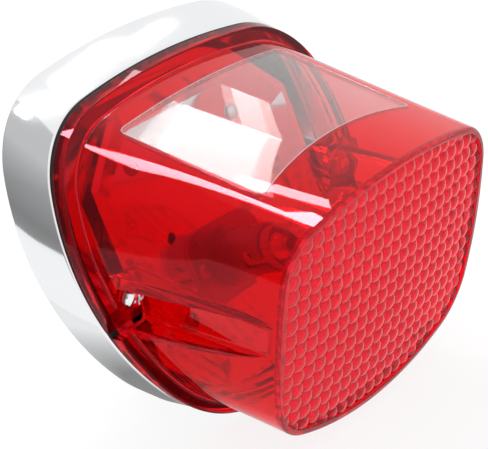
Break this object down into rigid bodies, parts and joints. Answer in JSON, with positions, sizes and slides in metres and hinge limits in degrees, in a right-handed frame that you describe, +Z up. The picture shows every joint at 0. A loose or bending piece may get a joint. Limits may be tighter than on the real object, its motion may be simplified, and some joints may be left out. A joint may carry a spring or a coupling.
{
  "type": "motorcycle tail light",
  "caption": "Fender-mounted tail and brake light: leaning chromed housing, upright red lens with a clear top window, bayonet lamp holder and two-filament bulb.",
  "frame": {"origin": "middle of the rear face of the mounting pad, between the two mounting studs", "axes": "+X to the right seen from behind the machine, -Y out through the upright lens face, +Z up; the mounting face leans 31.7 degrees back from the upright"},
  "size_m": [0.1348, 0.1072, 0.0988],
  "materials": {
    "chrome": "bright chrome plate on pressed steel",
    "pad_rubber": "matt black rubber sheet",
    "gasket_rubber": "matt dark rubber cord",
    "red_lens": "transparent red moulded acrylic, optics moulded into the face",
    "clear_lens": "clear moulded acrylic",
    "zinc_steel": "bright zinc plate",
    "screw_chrome": "chromed pan-head screw",
    "reflector_bright": "bright reflective sheet",
    "brass": "plain brass",
    "phenolic": "brown laminated phenolic board",
    "spring_steel": "bright spring wire",
    "cap_metal": "nickel-plated bulb cap",
    "seal_black": "black vitrite",
    "solder": "dull solder",
    "bulb_glass": "clear blown glass",
    "tungsten": "drawn tungsten and nickel wire",
    "connector_black": "black nylon",
    "wire_brown": "brown cable covering",
    "wire_black": "black cable covering",
    "wire_blue": "blue cable covering"
  },
  "bodies": {
    "base": {"mounting_pad": "pad_rubber", "housing": "chrome", "mounting_bolts": "zinc_steel", "mounting_washers": "zinc_steel", "lens_gasket": "gasket_rubber", "screw_inserts": "brass", "reflector": "reflector_bright", "reflector_screws": "zinc_steel", "socket_bracket": "zinc_steel", "socket_rivets": "zinc_steel", "socket_shell": "zinc_steel", "contact_insulator": "phenolic", "contact_sleeves": "brass", "contact_springs": "spring_steel", "wire_connector": "connector_black", "connector_pins": "brass", "lead_tail": "wire_brown", "lead_brake": "wire_blue", "lead_ground": "wire_black"},
    "lens": {"lens": "red_lens", "tag_window": "clear_lens"},
    "lens_screw_left": {"lens_screw_left": "screw_chrome"},
    "lens_screw_right": {"lens_screw_right": "screw_chrome"},
    "contacts": {"contact_buttons": "brass"},
    "bulb": {"bulb_cap": "cap_metal", "bulb_pins": "cap_metal", "bulb_seal": "seal_black", "bulb_contacts": "solder", "bulb_glass": "bulb_glass", "bulb_stem": "bulb_glass", "filament_supports": "tungsten", "filament_tail": "tungsten", "filament_brake": "tungsten"}
  },
  "joints": [
    {"name": "lens_removal", "type": "slide", "parent": "base", "child": "lens", "axis": [0, -1, 0], "range_m": [0, 0.09]},
    {"name": "left_screw_turn", "type": "hinge", "parent": "lens", "child": "lens_screw_left", "pos_m": [-0.052, -0.0249, -0.001], "axis": [0, -1, 0], "continuous": true},
    {"name": "right_screw_turn", "type": "hinge", "parent": "lens", "child": "lens_screw_right", "pos_m": [0.052, -0.0249, -0.001], "axis": [0, -1, 0], "continuous": true},
    {"name": "contact_press", "type": "slide", "parent": "base", "child": "contacts", "axis": [0, 0.8508, -0.5255], "range_m": [0, 0.0025], "stiffness_N_per_m": 1500, "springref_m": -0.001, "deforming": ["contact_springs"]},
    {"name": "bulb_turn", "type": "hinge", "parent": "contacts", "child": "bulb", "pos_m": [0, -0.01156, -0.01872], "axis": [0, -0.8508, 0.5255], "range_deg": [0, 20]}
  ]
}
